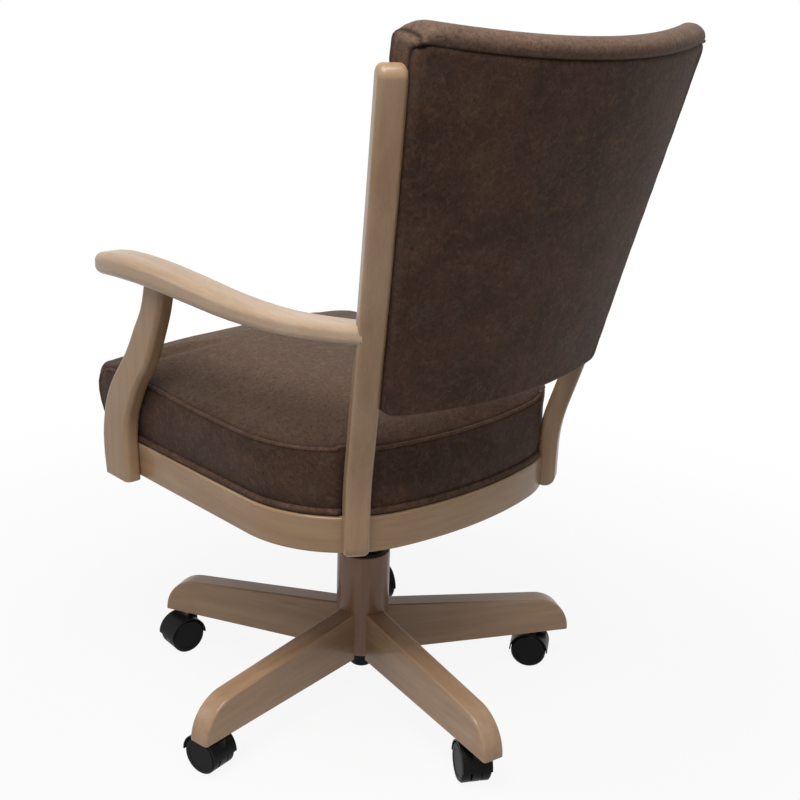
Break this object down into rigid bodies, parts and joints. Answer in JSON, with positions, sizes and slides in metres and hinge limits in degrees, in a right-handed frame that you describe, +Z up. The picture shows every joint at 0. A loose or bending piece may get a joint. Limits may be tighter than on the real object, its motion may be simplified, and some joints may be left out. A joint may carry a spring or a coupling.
{
  "type": "swivel armchair",
  "caption": "Wooden swivel armchair with a leather seat and back, S-curved arms, tilt control, gas lift and a wooden star base on casters.",
  "frame": {"origin": "on the floor, under the axis of the column", "axes": "+Z up, the chair faces -Y, the sitter's left is +X"},
  "size_m": [0.6364, 0.7296, 0.9977],
  "materials": {
    "washed_maple": "grey-washed satin lacquer",
    "beech": "plain sawn",
    "plywood": "plain",
    "leather": "distressed brown, worn to tan",
    "padded_leather": "distressed brown leather over springs and foam",
    "black_plastic": "fine matte",
    "black_nylon": "smooth",
    "steel": "bright zinc",
    "black_steel": "black powder coat",
    "rubber": "matte"
  },
  "bodies": {
    "base": {"base_hub": "washed_maple", "base_leg_1": "washed_maple", "base_leg_2": "washed_maple", "base_leg_3": "washed_maple", "base_leg_4": "washed_maple", "base_leg_5": "washed_maple", "leg_dowels": "beech", "caster_sockets": "steel", "hub_top_ring": "black_plastic", "hub_bottom_cap": "black_plastic", "lift_outer_tube": "black_steel", "lift_guide_bush": "black_plastic", "thrust_bearing": "steel"},
    "swivel": {"lift_rod": "steel"},
    "lift": {"lift_cylinder": "black_steel", "tilt_housing": "black_steel", "tilt_axle": "steel", "tilt_buffer": "rubber"},
    "button": {"release_button": "steel"},
    "lever": {"lift_lever": "black_steel", "lever_grip": "black_plastic"},
    "draw": {"draw_bolt": "steel"},
    "knob": {"tension_knob": "black_plastic"},
    "seat": {"seat_plate": "black_steel", "seat_plate_bolts": "steel", "tilt_bushes": "black_nylon", "draw_pin": "steel", "side_rail_left": "washed_maple", "side_rail_right": "washed_maple", "rear_rail": "washed_maple", "front_rail": "beech", "front_cover": "leather", "seat_board": "plywood", "corner_blocks": "beech", "frame_bolts": "steel", "rear_post_left": "washed_maple", "rear_post_right": "washed_maple", "arm_post_left": "washed_maple", "arm_post_right": "washed_maple", "arm_left": "washed_maple", "arm_right": "washed_maple", "seat_cushion": "padded_leather", "back_board": "plywood", "back_panel": "leather", "back_cushion": "padded_leather"},
    "caster_1": {"caster_1_hood": "black_plastic", "caster_1_stem": "black_steel"},
    "wheels_1": {"caster_1_wheels": "black_nylon"},
    "caster_2": {"caster_2_hood": "black_plastic", "caster_2_stem": "black_steel"},
    "wheels_2": {"caster_2_wheels": "black_nylon"},
    "caster_3": {"caster_3_hood": "black_plastic", "caster_3_stem": "black_steel"},
    "wheels_3": {"caster_3_wheels": "black_nylon"},
    "caster_4": {"caster_4_hood": "black_plastic", "caster_4_stem": "black_steel"},
    "wheels_4": {"caster_4_wheels": "black_nylon"},
    "caster_5": {"caster_5_hood": "black_plastic", "caster_5_stem": "black_steel"},
    "wheels_5": {"caster_5_wheels": "black_nylon"}
  },
  "joints": [
    {"name": "seat_swivel", "type": "hinge", "parent": "base", "child": "swivel", "pos_m": [0, 0, 0.1], "axis": [0, 0, 1], "continuous": true},
    {"name": "seat_height", "type": "slide", "parent": "swivel", "child": "lift", "axis": [0, 0, 1], "range_m": [-0.045, 0.055]},
    {"name": "seat_tilt", "type": "hinge", "parent": "lift", "child": "seat", "pos_m": [0, -0.05, 0.34], "axis": [-1, 0, 0], "range_deg": [0, 14], "stiffness_Nm_per_rad": 160, "springref_deg": -22.92},
    {"name": "draw_slide", "type": "slide", "parent": "lift", "child": "draw", "axis": [0, 0, 1], "range_m": [0, 0.0155], "deforming": ["tilt_buffer"]},
    {"name": "tension_turn", "type": "hinge", "parent": "draw", "child": "knob", "pos_m": [0, -0.112, 0.25], "axis": [0, 0, 1], "range_deg": [0, 1260]},
    {"name": "lever_lift", "type": "hinge", "parent": "lift", "child": "lever", "pos_m": [-0.03, 0, 0.3524], "axis": [0, 1, 0], "range_deg": [0, 5], "stiffness_Nm_per_rad": 2, "springref_deg": -5.73},
    {"name": "button_press", "type": "slide", "parent": "lift", "child": "button", "axis": [0, 0, -1], "range_m": [0, 0.003]},
    {"name": "caster_1_swivel", "type": "hinge", "parent": "base", "child": "caster_1", "pos_m": [0.29538, 0.03941, 0.06], "axis": [0, 0, 1], "continuous": true},
    {"name": "caster_1_roll", "type": "hinge", "parent": "caster_1", "child": "wheels_1", "pos_m": [0.29851, 0.02169, 0.0275], "axis": [0.9848, 0.1736, 0], "continuous": true},
    {"name": "caster_2_swivel", "type": "hinge", "parent": "base", "child": "caster_2", "pos_m": [0.0538, 0.2931, 0.06], "axis": [0, 0, 1], "continuous": true},
    {"name": "caster_2_roll", "type": "hinge", "parent": "caster_2", "child": "wheels_2", "pos_m": [0.04452, 0.27768, 0.0275], "axis": [0.8572, -0.515, 0], "continuous": true},
    {"name": "caster_3_swivel", "type": "hinge", "parent": "base", "child": "caster_3", "pos_m": [-0.26214, 0.14174, 0.06], "axis": [0, 0, 1], "continuous": true},
    {"name": "caster_3_roll", "type": "hinge", "parent": "caster_3", "child": "wheels_3", "pos_m": [-0.25181, 0.12699, 0.0275], "axis": [0.8192, 0.5736, 0], "continuous": true},
    {"name": "caster_4_swivel", "type": "hinge", "parent": "base", "child": "caster_4", "pos_m": [-0.2158, -0.20551, 0.06], "axis": [0, 0, 1], "continuous": true},
    {"name": "caster_4_roll", "type": "hinge", "parent": "caster_4", "child": "wheels_4", "pos_m": [-0.20965, -0.18859, 0.0275], "axis": [-0.9397, 0.342, 0], "continuous": true},
    {"name": "caster_5_swivel", "type": "hinge", "parent": "base", "child": "caster_5", "pos_m": [0.12876, -0.26875, 0.06], "axis": [0, 0, 1], "continuous": true},
    {"name": "caster_5_roll", "type": "hinge", "parent": "caster_5", "child": "wheels_5", "pos_m": [0.14672, -0.27, 0.0275], "axis": [0.0698, 0.9976, 0], "continuous": true}
  ],
  "couplings": [
    {"joint": "draw_slide", "follows": "seat_tilt", "m_per_rad": 0.0614},
    {"joint": "button_press", "follows": "lever_lift", "m_per_rad": 0.03}
  ]
}
